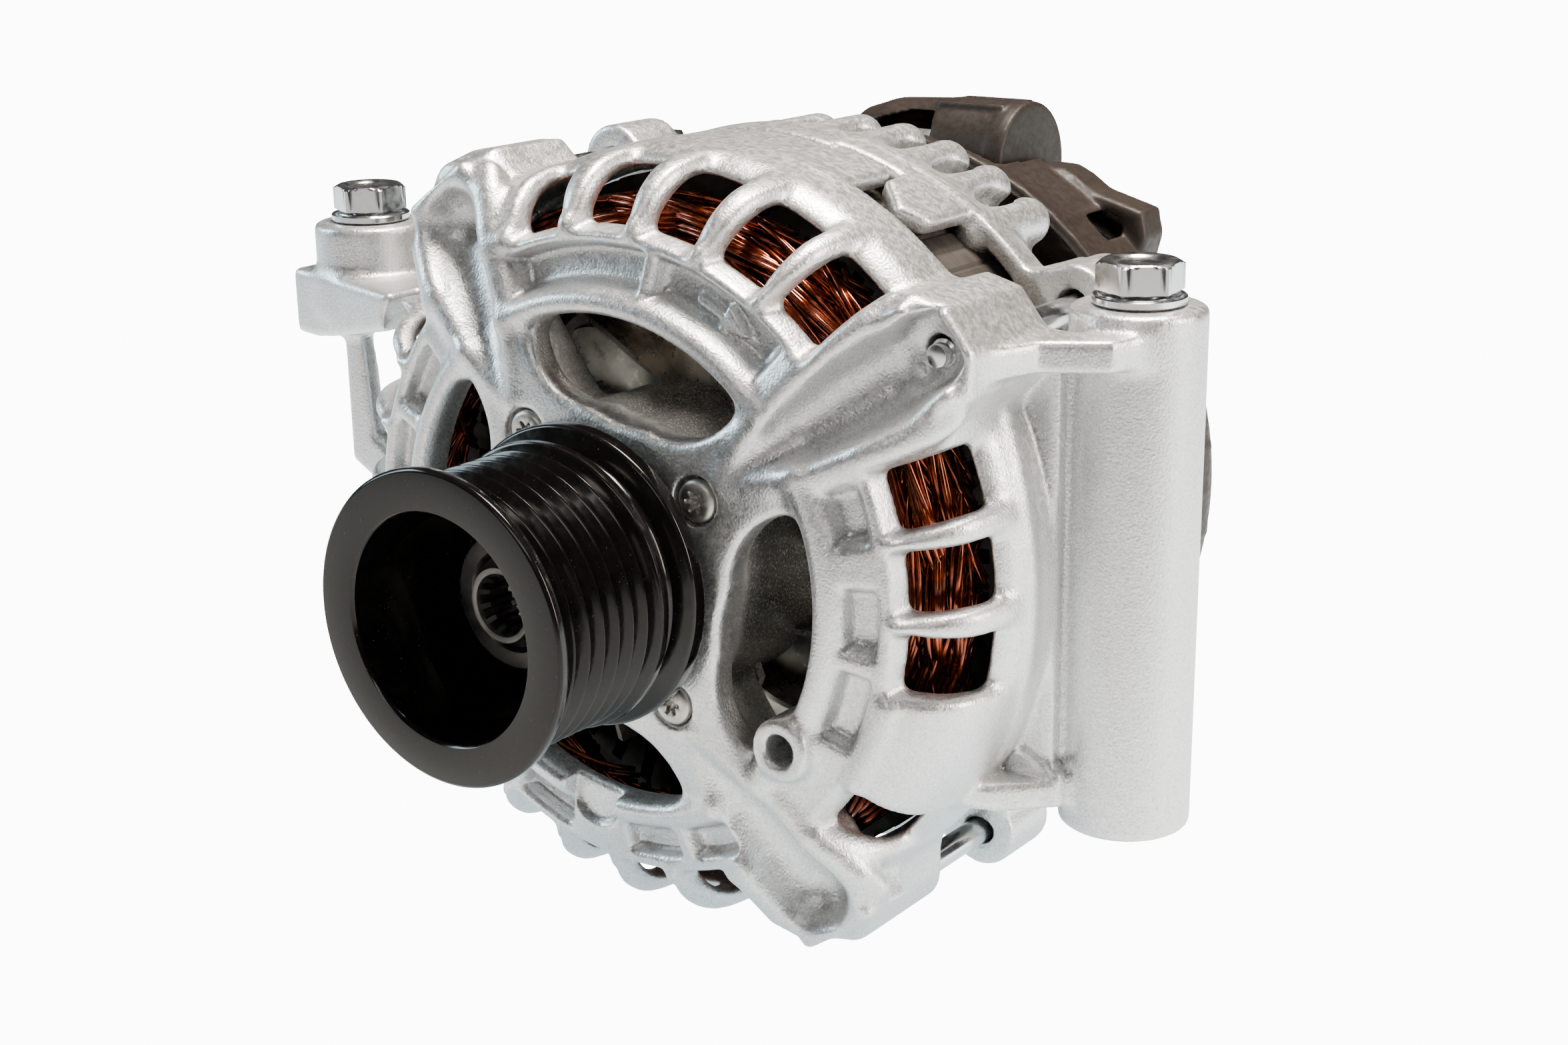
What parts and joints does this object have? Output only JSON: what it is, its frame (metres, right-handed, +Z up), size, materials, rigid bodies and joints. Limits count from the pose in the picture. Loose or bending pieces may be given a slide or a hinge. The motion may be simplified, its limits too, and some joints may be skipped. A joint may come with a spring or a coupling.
{
  "type": "car alternator",
  "caption": "Belt-driven car alternator: ribbed pulley on a claw-pole rotor in a finned two-part aluminium housing, with a bolt tube, a side lug, a rear cover and a plug socket.",
  "frame": {"origin": "middle of the bottom of the whole object's bounding box", "axes": "+Z up along the bolt tube, +Y along the shaft from the pulley to the rear cover, +X towards the bolt tube"},
  "size_m": [0.1996, 0.168, 0.1426],
  "materials": {
    "cast_aluminium": "shot-blasted casting",
    "black_coat": "gloss black coating",
    "dark_steel": "dull dark steel",
    "bearing_steel": "ground bright steel",
    "zinc_plate": "bright zinc plating",
    "copper_winding": "varnished copper",
    "core_lamination": "varnished steel sheet",
    "black_plastic": "matte moulded",
    "brush_carbon": "matte carbon",
    "heat_sink": "bare cast"
  },
  "bodies": {
    "housing": {"drive_end_shield": "cast_aluminium", "slip_ring_end_shield": "cast_aluminium", "stator_core": "core_lamination", "winding_front": "copper_winding", "winding_rear": "copper_winding", "front_bearing_outer_ring": "bearing_steel", "rear_bearing_outer_ring": "bearing_steel", "bearing_retainer_plate": "zinc_plate", "retainer_screw_1": "dark_steel", "retainer_screw_2": "dark_steel", "retainer_screw_3": "dark_steel", "retainer_screw_4": "dark_steel", "through_bolt_1": "zinc_plate", "through_bolt_2": "zinc_plate", "through_bolt_3": "zinc_plate", "through_bolt_4": "zinc_plate", "mounting_bolt_right": "zinc_plate", "mounting_washer_right": "zinc_plate", "mounting_bolt_left": "zinc_plate", "mounting_washer_left": "zinc_plate", "brush_holder": "black_plastic", "brush_spring_1": "dark_steel", "brush_spring_2": "dark_steel", "negative_heat_sink": "heat_sink", "positive_heat_sink": "heat_sink", "battery_stud": "zinc_plate", "battery_nut": "zinc_plate", "rear_cover": "black_plastic", "connector_housing": "black_plastic", "connector_pin_1": "zinc_plate", "connector_pin_2": "zinc_plate", "connector_pin_3": "zinc_plate"},
    "rotor": {"rotor_shaft": "dark_steel", "pulley": "black_coat", "pulley_nut": "dark_steel", "pulley_spacer": "dark_steel", "rotor_claw_front": "dark_steel", "rotor_claw_rear": "dark_steel", "field_coil": "copper_winding", "front_fan": "dark_steel", "rear_fan": "dark_steel", "slip_ring_hub": "black_plastic", "slip_ring_inner": "copper_winding", "slip_ring_outer": "copper_winding", "front_bearing_inner_ring": "bearing_steel", "rear_bearing_inner_ring": "bearing_steel"},
    "front_cage": {"front_bearing_ball_cage": "bearing_steel"},
    "rear_cage": {"rear_bearing_ball_cage": "bearing_steel"},
    "inner_brush": {"brush_1": "brush_carbon"},
    "outer_brush": {"brush_2": "brush_carbon"}
  },
  "joints": [
    {"name": "rotor_spin", "type": "hinge", "parent": "housing", "child": "rotor", "pos_m": [0.0102, -0.084, 0.071], "axis": [0, 1, 0], "continuous": true},
    {"name": "front_cage_spin", "type": "hinge", "parent": "housing", "child": "front_cage", "pos_m": [0.0102, -0.0332, 0.071], "axis": [0, 1, 0], "continuous": true},
    {"name": "rear_cage_spin", "type": "hinge", "parent": "housing", "child": "rear_cage", "pos_m": [0.0102, 0.036, 0.071], "axis": [0, 1, 0], "continuous": true},
    {"name": "inner_brush_slide", "type": "slide", "parent": "housing", "child": "inner_brush", "axis": [0, 0, 1], "range_m": [0, 0.006], "stiffness_N_per_m": 180, "springref_m": -0.012, "deforming": ["brush_spring_1"]},
    {"name": "outer_brush_slide", "type": "slide", "parent": "housing", "child": "outer_brush", "axis": [0, 0, 1], "range_m": [0, 0.006], "stiffness_N_per_m": 180, "springref_m": -0.012, "deforming": ["brush_spring_2"]}
  ],
  "couplings": [
    {"joint": "front_cage_spin", "follows": "rotor_spin", "ratio": 0.4006},
    {"joint": "rear_cage_spin", "follows": "rotor_spin", "ratio": 0.412}
  ]
}
